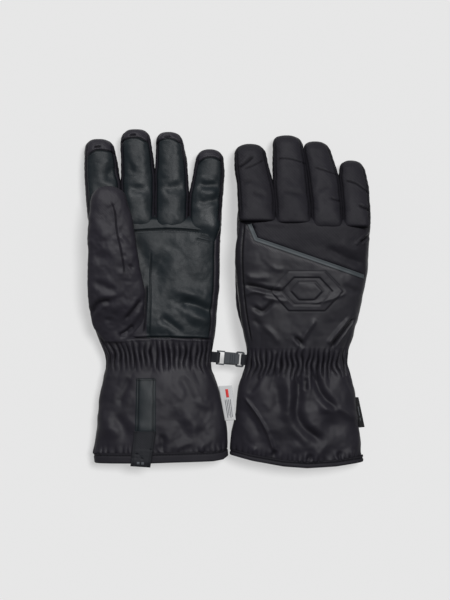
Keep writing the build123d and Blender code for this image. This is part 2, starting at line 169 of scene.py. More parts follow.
# ------------------------------------------------------------------ materials
def material(name, base, dark, rough, sheen=0.0, grain=0.6, grain_size=1.2, weave=0.0, weave_size=0.9,
             patch=0.25, spec=0.5, lift=0.12, strength=0.35):
    """A fabric, leather or plastic whose colour, roughness and surface all vary."""
    m = bpy.data.materials.new(name)
    m.use_nodes = True
    tree = m.node_tree
    nodes, link = tree.nodes, tree.links.new
    shader = nodes["Principled BSDF"]
    where = nodes.new("ShaderNodeTexCoord").outputs["Object"]

    def noise_node(size_mm, detail, rough_share=0.5):
        n = nodes.new("ShaderNodeTexNoise")
        n.inputs["Scale"].default_value = 1000.0 / size_mm
        n.inputs["Detail"].default_value = detail
        n.inputs["Roughness"].default_value = rough_share
        link(where, n.inputs["Vector"])
        return n.outputs["Fac"]

    def maths(kind, a, b=0.0):
        n = nodes.new("ShaderNodeMath")
        n.operation = kind
        for i, value in enumerate((a, b)):
            if isinstance(value, (int, float)):
                n.inputs[i].default_value = value
            else:
                link(value, n.inputs[i])
        return n.outputs[0]

    def mix(fac, a, b):
        n = nodes.new("ShaderNodeMixRGB")
        for key, value in (("Color1", a), ("Color2", b)):
            if isinstance(value, tuple):
                n.inputs[key].default_value = (*value, 1)
            else:
                link(value, n.inputs[key])
        link(fac, n.inputs["Fac"])
        return n.outputs["Color"]

    broad, fine = noise_node(38.0, 3), noise_node(2.2, 4, 0.65)
    blotch = maths("ADD", maths("MULTIPLY", broad, 0.7), maths("MULTIPLY", fine, 0.3))
    ramp = nodes.new("ShaderNodeMapRange")
    ramp.inputs["From Min"].default_value = 0.5 - patch
    ramp.inputs["From Max"].default_value = 0.5 + patch
    link(blotch, ramp.inputs["Value"])
    colour = mix(ramp.outputs["Result"], dark, base)
    # worn and rubbed where the surface stands proud
    pointed = nodes.new("ShaderNodeNewGeometry").outputs["Pointiness"]
    proud = maths("MULTIPLY", maths("SUBTRACT", pointed, 0.52), 6.0)
    proud = maths("MULTIPLY", maths("MINIMUM", maths("MAXIMUM", proud, 0.0), 1.0), lift)
    colour = mix(proud, colour, tuple(min(1, c * 1.9 + 0.008) for c in base))
    # painted shade: darker colour and less gloss where the mesh's shade attribute is high, down in seams, creases
    # and hollows
    painted_shade = nodes.new("ShaderNodeAttribute")
    painted_shade.attribute_name = "painted_shade"
    painted_shade = painted_shade.outputs["Fac"]
    colour = mix(painted_shade, colour, tuple(c * 0.18 for c in dark))
    link(colour, shader.inputs["Base Color"])
    uneven = maths("MULTIPLY", maths("SUBTRACT", blotch, 0.5), -0.35)
    link(maths("ADD", uneven, rough), shader.inputs["Roughness"])
    open_face = maths("SUBTRACT", 1.0, maths("MULTIPLY", painted_shade, 0.92))
    link(maths("MULTIPLY", open_face, spec), shader.inputs["Specular IOR Level"])
    link(maths("MULTIPLY", open_face, sheen), shader.inputs["Sheen Weight"])
    shader.inputs["Sheen Roughness"].default_value = 0.4
    height = maths("MULTIPLY", noise_node(grain_size, 3, 0.6), grain)
    if weave:
        turned = nodes.new("ShaderNodeMapping")
        turned.inputs["Rotation"].default_value = (0, 0, math.radians(45))
        link(where, turned.inputs["Vector"])
        for axis in ("X", "Y"):
            wave = nodes.new("ShaderNodeTexWave")
            wave.bands_direction = axis
            wave.inputs["Scale"].default_value = 1000.0 / weave_size / 20.0 * math.pi
            wave.inputs["Distortion"].default_value = 0.4
            link(turned.outputs["Vector"], wave.inputs["Vector"])
            height = maths("ADD", height, maths("MULTIPLY", wave.outputs["Fac"], weave))
    bumps = nodes.new("ShaderNodeBump")
    bumps.inputs["Strength"].default_value = strength
    bumps.inputs["Distance"].default_value = 0.0003
    link(height, bumps.inputs["Height"])
    link(bumps.outputs["Normal"], shader.inputs["Normal"])
    return m


def cloth(name, base, dark, rough, spec, weave=0.35, weave_size=0.8, lift=0.05):
    return material(name, base, dark, rough, sheen=0.01, weave=weave, weave_size=weave_size, lift=lift,
                    spec=spec)


def plain(name, base, dark, rough=0.6, **more):
    return material(name, base, dark, rough, **{"lift": 0.0, "spec": 0.2, **more})


NYLON = cloth("nylon_softshell", (0.0125, 0.0115, 0.0158), (0.0088, 0.0081, 0.0112), 0.52, 0.16)
BACK_NYLON = cloth("back_nylon", (0.0120, 0.0115, 0.0148), (0.0084, 0.0080, 0.0105), 0.48, 0.19)
CUFF_NYLON = cloth("cuff_nylon", (0.0106, 0.0098, 0.0134), (0.0074, 0.0069, 0.0095), 0.5, 0.13)
SOFTSHELL = cloth("matt_softshell", (0.0088, 0.0083, 0.0112), (0.0066, 0.0062, 0.0084), 0.6, 0.11, 0.45, 1.0)
BINDING = cloth("binding_tape", (0.0110, 0.0105, 0.0135), (0.0078, 0.0073, 0.0096), 0.65, 0.1, 0.5, 0.6, 0.1)
WEBBING = cloth("webbing", (0.0120, 0.0125, 0.0150), (0.008, 0.0085, 0.0105), 0.65, 0.1, 0.6)
LEATHER = material("palm_leather", (0.0074, 0.0102, 0.0124), (0.0048, 0.0068, 0.0084), 0.46, grain=0.9,
                   grain_size=0.9, spec=0.15, lift=0.08)
PIPING = plain("reflective_film", (0.036, 0.042, 0.046), (0.029, 0.034, 0.038), 0.5, grain=0.3, lift=0.05,
               spec=0.15)
FLEECE = plain("fleece", (0.010, 0.010, 0.0115), (0.006, 0.006, 0.007), 0.95, sheen=0.2, grain=1.5, grain_size=1.6,
               lift=0.12, spec=0.1)
LINING = plain("lining_cloth", (0.011, 0.011, 0.0125), (0.008, 0.008, 0.009), sheen=0.05, weave=0.4, lift=0.12,
               spec=0.15)
THREAD = plain("thread", (0.0125, 0.0125, 0.0150), (0.009, 0.009, 0.011), spec=0.1)
CLIP = plain("clip_acetal", (0.0240, 0.0270, 0.0315), (0.018, 0.0205, 0.024), 0.5, grain=0.25, lift=0.12,
             spec=0.15)
RING = plain("ring_acetal", (0.0200, 0.0225, 0.0265), (0.015, 0.017, 0.020), 0.45, grain=0.2, lift=0.12)
WHITE = plain("white_satin", (0.36, 0.36, 0.365), (0.29, 0.295, 0.30), weave=0.5, weave_size=0.5)
PRINT = plain("grey_print", (0.07, 0.075, 0.085), (0.05, 0.055, 0.06))
RED = plain("red_print", (0.40, 0.028, 0.028), (0.32, 0.02, 0.02))
BLACK = plain("black_satin", (0.005, 0.005, 0.0055), (0.0035, 0.0035, 0.004), weave=0.4, weave_size=0.5, lift=0.12,
              spec=0.1)


# ------------------------------------------------------------------ meshes
def mesh_object(name, verts, faces, materials, face_material=None, shade=None):
    """One smooth object; vertices that no face uses are dropped."""
    verts = np.asarray(verts, float).reshape(-1, 3)
    used = np.zeros(len(verts), bool)
    for f in faces:
        used[list(f)] = True
    index = np.cumsum(used) - 1
    mesh = bpy.data.meshes.new(name)
    mesh.from_pydata(((verts[used] - ROW) * 0.001).tolist(), [], [[int(index[i]) for i in f] for f in faces])
    # the painted shade is stored on the points, for the material to darken the colour with
    if shade is not None:
        painted_shade = mesh.attributes.new("painted_shade", "FLOAT", "POINT")
        painted_shade.data.foreach_set("value", np.clip(np.asarray(shade, float).reshape(-1)[used], 0, 1))
    for m in materials:
        mesh.materials.append(m)
    if face_material is not None:
        mesh.polygons.foreach_set("material_index", np.asarray(face_material, np.int32))
    mesh.polygons.foreach_set("use_smooth", [True] * len(mesh.polygons))
    mesh.update()
    obj = bpy.data.objects.new(name, mesh)
    bpy.context.scene.collection.objects.link(obj)
    return obj


def join(name, objects):
    """Joins objects into the first and renames it."""
    bpy.ops.object.select_all(action="DESELECT")
    for o in objects:
        o.select_set(True)
    bpy.context.view_layer.objects.active = objects[0]
    if len(objects) > 1:
        bpy.ops.object.join()
    objects[0].name = name
    return objects[0]


class Skin:
    """A grid of points: rows run along a tube, columns run round it."""

    def __init__(self, points, closed=True, cap_end=False, cap_start=False):
        self.p = points
        self.closed, self.cap_end, self.cap_start = closed, cap_end, cap_start
        # painted shade per point, laid into the colour by the material: darker in seams, creases, valleys and gaps
        self.shade = np.zeros(points.shape[:2])

    def normals(self):
        if self.closed:
            du = np.roll(self.p, -1, axis=1) - np.roll(self.p, 1, axis=1)
        else:
            du = np.gradient(self.p, axis=1)
        n = np.cross(np.gradient(self.p, axis=0), du)
        return n / np.maximum(np.linalg.norm(n, axis=2, keepdims=True), 1e-9)

    def push(self, amount):
        self.p = self.p + self.normals() * amount[..., None]

    def stay_above(self, floor):
        self.p[..., 2] = np.maximum(self.p[..., 2], floor)

    def quads(self):
        rows, cols = self.p.shape[:2]
        i, j = np.meshgrid(np.arange(rows - 1), np.arange(cols if self.closed else cols - 1), indexing="ij")
        k = (j + 1) % cols
        here, after = i * cols, (i + 1) * cols
        return np.stack([here + j, after + j, after + k, here + k], -1).reshape(-1, 4)

    def at_quads(self, values):
        """Values of the grid, averaged over each quad."""
        flat = values.reshape(-1, *values.shape[2:])
        return flat[self.quads()].mean(axis=1)

    def row_y(self):
        """How far along the tube each quad is, before any warp."""
        return np.repeat((self.ys[:-1] + self.ys[1:]) / 2, self.p.shape[1])

    def build(self, name, materials, keep=None, face_material=None):
        q = self.quads()
        fm = np.zeros(len(q), int) if face_material is None else np.asarray(face_material).astype(int)
        keep = np.ones(len(q), bool) if keep is None else keep
        faces, fm = q[keep].tolist(), fm[keep].tolist()
        rows, cols = self.p.shape[:2]
        row_ids = q[keep][:, 0] // cols
        if self.cap_end and row_ids.max() == rows - 2:
            faces.append([rows * cols - 1 - j for j in range(cols)])
            fm.append(fm[-1])
        if self.cap_start and row_ids.min() == 0:
            faces.append(list(range(cols)))
            fm.append(fm[0])
        return mesh_object(name, self.p, faces, materials, fm, self.shade)


def tube(ys, centre_x, half_wide, centre_z, half_tall, power, count, warp=None, **caps):
    """A tube along Y of superelliptic section. Every argument but count is a value per row."""
    power = np.broadcast_to(np.asarray(power, float), len(ys))
    e0, h0, turn = ring(count, *[float(np.median(values)) for values in (half_wide, half_tall, power)])
    a = np.arctan2(h0, e0)[None, :]
    p = power[:, None]
    r = (np.abs(np.cos(a)) ** p + np.abs(np.sin(a)) ** p) ** (-1 / p)
    e, h = r * np.cos(a), r * np.sin(a)
    y = np.repeat(np.asarray(ys, float)[:, None], count, axis=1)
    if warp is not None:
        y = y + warp(y, e, h)
    x = centre_x[:, None] + half_wide[:, None] * e
    z = np.asarray(centre_z)[:, None] + half_tall[:, None] * h
    skin = Skin(np.stack([x, y, z], -1), **caps)
    skin.e, skin.h, skin.ys = e, h, np.asarray(ys, float)
    skin.turn = np.repeat(turn[None, :], len(ys), axis=0)
    return skin


class Surface:
    """Finds the top or the bottom of a skin at a place in plan."""

    def __init__(self, skin):
        self.tree = BVHTree.FromPolygons(skin.p.reshape(-1, 3).tolist(), skin.quads().tolist())

    def at(self, x, y, up):
        hit = self.tree.ray_cast(Vector((x, y, 400.0 * up)), Vector((0, 0, -up)))
        return hit[0], hit[1]


def resample(points, step):
    pts = np.array(points, float)
    s = np.concatenate([[0], np.cumsum(np.hypot(*np.diff(pts, axis=0).T))])
    want = np.linspace(0, s[-1], max(2, int(round(s[-1] / step)) + 1))
    return list(zip(np.interp(want, s, pts[:, 0]).tolist(), np.interp(want, s, pts[:, 1]).tolist()))


def stitches(name, surface, lines, up, pitch=2.5, length=1.6, radius=0.22):
    """Short rounded stitches laid along plan lines on a surface."""
    verts, faces = [], []
    for points in lines:
        run = resample(points, pitch)
        for (ax, ay), (bx, by) in zip(run[:-1], run[1:]):
            gap = math.hypot(bx - ax, by - ay)
            hit, n = surface.at((ax + bx) / 2, (ay + by) / 2, up)
            if hit is None or gap < 1e-6:
                continue
            n = n if n.z * up > 0 else -n
            t = Vector(((bx - ax) / gap, (by - ay) / gap, 0.0))
            t = (t - n * t.dot(n)).normalized()
            side = n.cross(t)
            first = len(verts)
            for place, size, drop in ((-0.5, 0.35, 0.3), (-0.3, 1.0, 0.0), (0.3, 1.0, 0.0), (0.5, 0.35, 0.3)):
                centre = hit + t * (place * length) + n * (radius * 0.45 - drop)
                for k in range(6):
                    angle = k * math.pi / 3
                    out = side * math.cos(angle) + n * math.sin(angle)
                    verts.append(tuple(centre + out * radius * size))
            for k in range(3):
                for a in range(6):
                    b = (a + 1) % 6
                    at = first + k * 6
                    faces.append([at + a, at + b, at + 6 + b, at + 6 + a])
            faces.append([first + a for a in range(5, -1, -1)])
            faces.append([first + 18 + a for a in range(6)])
    return mesh_object(name, verts, faces, [THREAD])


# ------------------------------------------------------------------ what each glove looks like
# A fold is (points, depth, width); depth is negative for a valley and positive for a ridge.
# Palm folds are placed on the left hand and back folds on the right one.
PALM_SEAMS = [
    ([(-90, 113.6), (-63.2, 115.6), (-37.4, 115.2), (-11.5, 112)], -1.0, 0.85),
    ([(-73.6, 66), (-73.8, 50), (-76.2, 22)], -0.7, 0.8),
    ([(-69.8, 96), (-70.2, 62), (-71.2, 20)], -0.4, 0.75),
    ([(-106, 17.0), (-80, 18.2), (-60, 18.8), (-40, 18.2), (-14, 17.0)], -1.0, 0.9),
]
PALM_FOLDS = [
    ([(-93, 127.5), (-80, 126.0), (-66, 127.5), (-52, 125.6), (-37, 126.5)], -0.9, 1.6),
    ([(-54, 98), (-61, 86), (-66, 75), (-65.6, 62)], -1.9, 7.0),
    ([(-88, 112), (-79, 96), (-73, 80), (-70, 68)], -1.5, 7.0),
    ([(-36, 120), (-34, 108), (-36, 96)], 0.5, 6.0),
    ([(-46, 51), (-30, 48), (-13, 40)], -2.4, 4.2),
    ([(-56, 63), (-40, 59), (-22, 56)], 1.5, 5.5),
    ([(-40, 38), (-26, 35), (-14, 30)], 1.6, 5.0),
    ([(-62, 38), (-50, 29), (-40, 22)], -1.3, 3.4),
    ([(-27, 110), (-15, 107)], -0.3, 1.0),
    ([(-30, 107), (-15, 103.5)], -0.3, 1.0),
    ([(-60, 118), (-50, 122)], 0.4, 3.0),
]
THUMB_SEAMS = [([(-105.2, 140), (-101, 132), (-99.7, 111.2), (-95.2, 94), (-92.4, 74)], -0.55, 0.7)]
THUMB_FOLDS = [
    ([(-121, 70), (-112, 64.5), (-104.8, 61.5), (-97, 62.5)], -1.3, 3.4),
    ([(-119, 57), (-108, 56.2), (-97, 57.2)], 0.8, 3.0),
    ([(-123.5, 38), (-120, 45), (-115, 50.5), (-104, 51.6)], -2.0, 2.3),
    ([(-93.5, 34), (-85, 43), (-77.5, 53)], -1.5, 2.0),
    ([(-90, 28), (-82, 38), (-77, 44)], 0.8, 2.4),
    ([(-99, 19.4), (-91, 23), (-84.7, 30)], -1.6, 1.9),
    ([(-98, 118), (-90, 108), (-86, 100)], -0.5, 2.6),
    ([(-112, 36), (-104, 33)], -0.8, 2.4),
    ([(-118, 96), (-108, 84)], -0.8, 5.0),
    ([(-116, 126), (-112, 98)], 0.8, 6.0),
    ([(-90, 84), (-84, 80)], -0.8, 1.6),
    ([(-103, 78), (-88, 72)], 0.8, 4.0),
    ([(-108, 44), (-96, 44)], 0.9, 4.0),
]
BACK_SEAMS = [([(13.4, 122), (12.0, 100), (11.9, 78), (13.4, 52), (16.5, 30), (20, 14)], -0.9, 0.8)]
BACK_FOLDS = [
    ([(116, 103), (121, 106), (127, 112)], -1.8, 1.3),
    ([(110.7, 101), (123.9, 108.0)], 0.9, 1.6),
    ([(85, 100), (98, 92), (112, 86), (122, 84)], -1.4, 3.6),
    ([(96, 104), (108, 98), (122, 96)], 1.1, 4.0),
    ([(14, 75), (22, 71.5), (36, 72.5)], 1.6, 2.8),
    ([(13, 66), (24, 64), (36, 60.5), (48, 60)], -2.0, 2.0),
    ([(13, 56), (22, 60.5), (34, 57)], 1.4, 2.0),
    ([(28, 55), (42, 52), (52, 51.2)], 1.0, 1.8),
    ([(20, 47), (29, 41), (34, 45), (40, 52)], -1.7, 2.0),
    ([(36, 84), (42, 79), (50, 80)], 0.9, 2.6),
    ([(72, 49), (86, 51.5), (104, 58)], 1.0, 1.6),
    ([(78, 36), (70, 26), (64, 15)], 1.9, 2.8),
    ([(58, 20), (66, 12)], -1.9, 1.8),
    ([(112, 36), (102, 24), (91, 10)], -2.6, 1.4),
    ([(107.5, 37), (98, 25.5), (87, 12)], 1.4, 1.8),
    ([(28, 30), (38, 24), (46, 12)], 1.2, 2.8),
    ([(20, 36), (30, 28)], -1.0, 2.6),
    ([(100, 66), (112, 60), (118, 58)], -1.0, 2.8),
    ([(16, 118), (24, 116)], -0.8, 1.4),
    ([(30, 121), (52, 119)], 0.6, 2.6),
]
MOTIF_CENTRE, MOTIF_WIDE, MOTIF_TALL = (69.0, 60.0), 29.0, 18.0
PIPING_LINE = [(15.6, 125.5), (23.8, 106.1), (60, 93.6), (122.6, 72.0)]
# Folds of the cuffs: the left one on its palm side, the right one on its back.
LEFT_CUFF_FOLDS = [
    ([(-88, -16), (-95, -30), (-99, -44)], -1.5, 3.4),
    ([(-44, -14), (-37, -27), (-33, -40)], -1.0, 4.0),
    ([(-106, -50), (-95, -60), (-89, -76)], -2.0, 6.0),
    ([(-113, -46), (-107, -58), (-100, -74)], 1.6, 7.0),
    ([(-34, -36), (-22, -42), (-12, -42)], 1.4, 5.0),
    ([(-56, -46), (-42, -60), (-36, -78)], -1.8, 6.5),
    ([(-44, -46), (-30, -58), (-22, -66)], 1.5, 6.0),
    ([(-30, -60), (-20, -72), (-14, -80)], -1.3, 5.0),
    ([(-62, -66), (-58, -76), (-62, -84)], -1.6, 3.2),
    ([(-50, -84), (-42, -77), (-32, -75)], 1.4, 3.4),
    ([(-28, -84), (-20, -75), (-14, -73)], 1.3, 3.0),
]
RIGHT_CUFF_FOLDS = [
    ([(62.4, -14), (62, -32), (59.5, -46), (63, -58), (72, -67), (86, -75)], -3.4, 4.2),
    ([(69, -16), (68.5, -30)], -1.5, 2.0),
    ([(76, -12), (79, -24), (84, -34), (92, -42), (99, -47)], -2.8, 3.4),
    ([(78, -46), (92, -43.5), (102, -46.5), (117, -56)], 2.4, 4.0),
    ([(80, -57), (94, -60), (112, -66)], -1.6, 6.5),
    ([(13.7, -34.5), (25, -48.7), (35.5, -67.6), (40.2, -84)], 1.5, 1.5),
    ([(10, -40), (20, -54), (30, -72)], -1.5, 4.6),
    ([(40, -16), (43, -34), (47, -52)], -2.4, 6.5),
    ([(52, -14), (53, -40), (50, -60)], 1.4, 5.6),
    ([(28, -14), (24, -24), (16, -32)], -1.4, 2.8),
    ([(20, -86), (24, -78)], 1.2, 2.6),
    ([(49, -92), (56, -80), (66, -76)], 2.2, 5.0),
    ([(76, -92), (84, -78), (92, -76)], 2.0, 4.6),
    ([(70, -93), (74, -84)], -1.8, 2.3),
    ([(97, -91), (101, -82)], -1.6, 2.3),
    ([(39, -89), (42, -81)], -2.0, 2.3),
    ([(106, -89), (112, -80)], 1.4, 3.6),
]

# Outline rows are (y, lowest x, highest x) and height rows are (y, axis height, half thickness). The hem is
# (share of the width, y). A finger is its tip's y and its outline.
GLOVES = {
    "left": dict(
        palm=1, shift=0.0, wrist_y=2.5, gather_half=14.0, binding=8.6,
        outline=[(-96, -120.8, -1.0), (-84, -122.2, -1.6), (-74, -121.6, -2.0), (-45, -117.6, -5.6),
                 (-30, -115.4, -8.8), (-16, -112.6, -13.4), (-8, -110.8, -16.6), (2, -111.2, -16.6),
                 (10, -114.8, -14.8), (18, -118.6, -13.4), (27, -121.4, -12.4), (41, -124.0, -11.6),
                 (63, -125.0, -9.2), (92, -124.8, -8.6), (119, -125.4, -7.9), (131, -126.4, -6.8)],
        height=[(-99, 17.8, 16.6), (-92, 17.8, 17.2), (-60, 18.4, 18.2), (-30, 18.4, 17.4), (-12, 18.4, 14.8),
                (2, 18.4, 13.4), (14, 18.4, 15.0), (26, 18.4, 17.2), (45, 18.4, 18.0), (90, 18.2, 17.0),
                (112, 18.2, 16.1), (118, 18.2, 15.7), (126, 18.2, 14.6), (134, 18.2, 12.6)],
        hem=[(0.0, -94.4), (0.4, -94.2), (0.6, -93.4), (0.9, -92.4), (0.97, -91.0), (1.0, -88.5)],
        fingers=dict(
            index=(197.4, [
                (110, -125.8, -96.2), (128, -127.2, -96.6), (150, -129.6, -97.4), (167, -130.4, -99.0),
                (178, -130.7, -100.8), (189, -130.2, -103.2), (197, -129.2, -104.6)]),
            middle=(206.2, [
                (110, -95.8, -67.0), (150, -97.4, -66.6), (178, -97.6, -67.4), (189, -97.6, -69.3),
                (206, -97.4, -72.4)]),
            ring=(203.8, [
                (110, -66.4, -37.2), (150, -66.8, -36.2), (166, -66.6, -36.8), (178, -66.2, -37.8),
                (190, -66.0, -40.4), (203, -65.8, -43.0)]),
            little=(188.2, [
                (110, -36.4, -7.4), (140, -36.0, -6.0), (151, -35.0, -5.0), (167, -32.4, -4.0),
                (178, -30.1, -5.0), (188, -28.2, -6.8)]),
        ),
        finger_z=[(105, 18.0), (130, 17.6), (160, 15.4), (206, 13.4)],
    ),
    "right": dict(
        palm=-1, shift=MIRROR_SHIFT, wrist_y=-4.5, gather_half=13.0, binding=5.4,
        outline=[(-99, 1.0, 120.6), (-88, 1.2, 120.0), (-70, 2.6, 118.6), (-52, 4.6, 116.4), (-30, 6.6, 112.0),
                 (-16, 11.2, 108.8), (-8, 15.9, 105.2), (4, 16.6, 105.4), (14, 15.0, 109.2), (20, 13.4, 111.4),
                 (34, 10.2, 115.2), (63, 7.2, 121.0), (85, 5.4, 124.2), (100, 6.6, 125.0), (119, 8.8, 125.4),
                 (131, 9.0, 126.2)],
        height=[(-99, 20.8, 16.6), (-92, 21.2, 17.2), (-60, 23.6, 18.2), (-30, 26.2, 17.4), (-12, 27.4, 14.6),
                (-4, 27.8, 13.4), (8, 28.8, 15.0), (24, 30.4, 17.0), (45, 32.5, 18.0), (90, 37.0, 17.4),
                (112, 39.0, 16.4), (118, 39.4, 15.8), (126, 40.0, 14.4), (134, 40.2, 12.4)],
        hem=[(0.0, -87.0), (0.16, -91.8), (0.4, -96.7), (0.58, -98.2), (0.8, -96.7), (1.0, -93.2)],
        fingers=dict(
            index=(193.0, [
                (110, 9.0, 41.8), (140, 7.8, 41.4), (155, 6.8, 39.8), (167, 5.4, 37.4), (178, 4.6, 34.6),
                (193, 5.6, 31.4)]),
            middle=(200.8, [(110, 42.0, 73.6), (140, 40.8, 73.0), (155, 39.6, 71.2), (173, 39.2, 69.2),
                            (200, 39.4, 65.0)]),
            ring=(195.2, [
                (108, 73.8, 101.4), (140, 72.8, 100.8), (155, 71.2, 99.6), (173, 69.0, 96.0),
                (184, 67.2, 92.0), (195, 66.4, 88.2)]),
            little=(177.8, [
                (105, 101.8, 126.0), (130, 101.0, 126.4), (151, 100.0, 125.6), (162, 99.2, 124.0),
                (178, 98.8, 119.6)]),
        ),
        finger_z=[(105, 39.6), (122, 39.8), (136, 36.4), (160, 26.8), (180, 18.0), (200, 12.8)],
    ),
}
for look in GLOVES.values():
    look["low"] = min(y for _, y in look["hem"])
    look["band"] = look["low"] + look["binding"]  # where the shell meets the binding, at its lowest
    look["back_shift"] = look["shift"] - MIRROR_SHIFT

# Cross seams and creases of single fingers. Palm ones are placed on the left hand and back ones on the
# right one. The first palm one of a finger is the edge of its leather.
FINGER_FOLDS = {
    ("index", "palm"): [
        ([(-127, 181), (-124, 184.6), (-117.7, 187.3), (-106.2, 185.9), (-102, 183)], -0.9, 0.8),
        ([(-121.5, 189.4), (-114.5, 190.6)], -1.8, 0.8),
        ([(-124, 152), (-112, 150), (-101, 152)], -1.6, 5.0),
        ([(-113, 157), (-106, 166), (-103, 176)], -2.0, 6.0),
    ],
    ("middle", "palm"): [
        ([(-97, 192), (-95, 195.9), (-88, 198), (-80, 198), (-72, 193)], -0.9, 0.8),
        ([(-90, 200.2), (-83, 200.8)], -1.8, 0.8),
        ([(-92, 152.5), (-81, 150.6), (-70.5, 153.5)], -1.9, 4.6),
        ([(-90, 178), (-86, 164)], -0.8, 2.8),
    ],
    ("ring", "palm"): [
        ([(-66, 191), (-63.2, 195.2), (-57, 197.6), (-50, 197.4), (-42.5, 192)], -0.9, 0.8),
        ([(-59, 199), (-52, 199.6)], -1.8, 0.8),
        ([(-62.4, 153.5), (-52, 151.4), (-39, 155)], -1.8, 4.6),
    ],
    ("little", "palm"): [
        ([(-28.5, 174), (-25.9, 177.3), (-20, 180.4), (-12, 180.6), (-6, 176)], -1.0, 0.8),
        ([(-29, 156.2), (-18, 154.6), (-8, 155.5)], -1.3, 3.0),
        ([(-28, 148), (-9, 148)], 0.8, 3.4),
        ([(-30, 139.5), (-18, 140), (-8, 142.6)], -1.2, 3.2),
    ],
    ("index", "back"): [
        ([(7.5, 170), (14, 175), (22.3, 181.2)], -1.1, 1.2),
        ([(13, 169.4), (22, 173), (32, 177.6)], -0.5, 0.8),
        ([(20, 150), (34, 144)], -0.9, 2.6),
        ([(10, 156), (22, 160)], -0.7, 2.0),
    ],
    ("middle", "back"): [
        ([(43, 177.5), (46, 179.4), (57.9, 178.6), (69.8, 173.6)], -0.5, 0.7),
        ([(46, 150), (68, 146)], -0.9, 2.6),
    ],
    ("ring", "back"): [
        ([(75.5, 171), (88.3, 167.3), (97.5, 163.5)], -0.5, 0.8),
        ([(90, 143), (100, 139.5)], -0.7, 1.2),
        ([(77, 150), (92, 156)], -0.9, 2.6),
    ],
    ("little", "back"): [
        ([(103, 158.4), (108, 158.1), (115, 155.8), (125.2, 147.4)], -0.6, 0.8),
        ([(115, 136.8), (126, 131.4)], -1.1, 1.3),
    ],
}


def rounded(points):
    """The same line with its corners cut twice."""
    for _ in range(2 if len(points) > 2 else 0):
        cut = [points[0]]
        for a, b in zip(points, points[1:]):
            cut += [(0.75 * a[0] + 0.25 * b[0], 0.75 * a[1] + 0.25 * b[1]),
                    (0.25 * a[0] + 0.75 * b[0], 0.25 * a[1] + 0.75 * b[1])]
        points = cut + [points[-1]]
    return points


def add_folds(skin, folds, up, shift=0.0):
    """Height of folds on the side of a skin that faces up (+1) or down (-1); their depths are shaded."""
    x, y = skin.p[..., 0], skin.p[..., 1]
    side = ease(skin.h * up, -0.15, 0.35)
    total = np.zeros(x.shape)
    for points, depth, width in folds:
        pts = rounded(moved(points, shift))
        d, t = line_distance(x, y, pts)
        reach = max(math.dist(pts[0], pts[-1]), 1.0)
        end = min(0.45, 1.6 * width / reach + 0.06)
        taper = (0.15 + 0.85 * ease(t, 0, end) * ease(1 - t, 0, end)) * side
        shape = bump(d, width)
        if depth < 0:
            shape = shape - 0.22 * bump(d - 1.9 * width, 1.0 * width)
            dark = min(0.9, -depth / (0.4 + 0.5 * width)) / (1 + (width / 2.0) ** 3)
            skin.shade += dark * taper * bump(d, 0.62 * width + 0.2)
        total += depth * taper * shape
    return total


def wrinkle(skin, size, amount, seed):
    return amount * (noise(skin.p, size, seed) + 0.5 * noise(skin.p, size * 0.47, seed + 1))


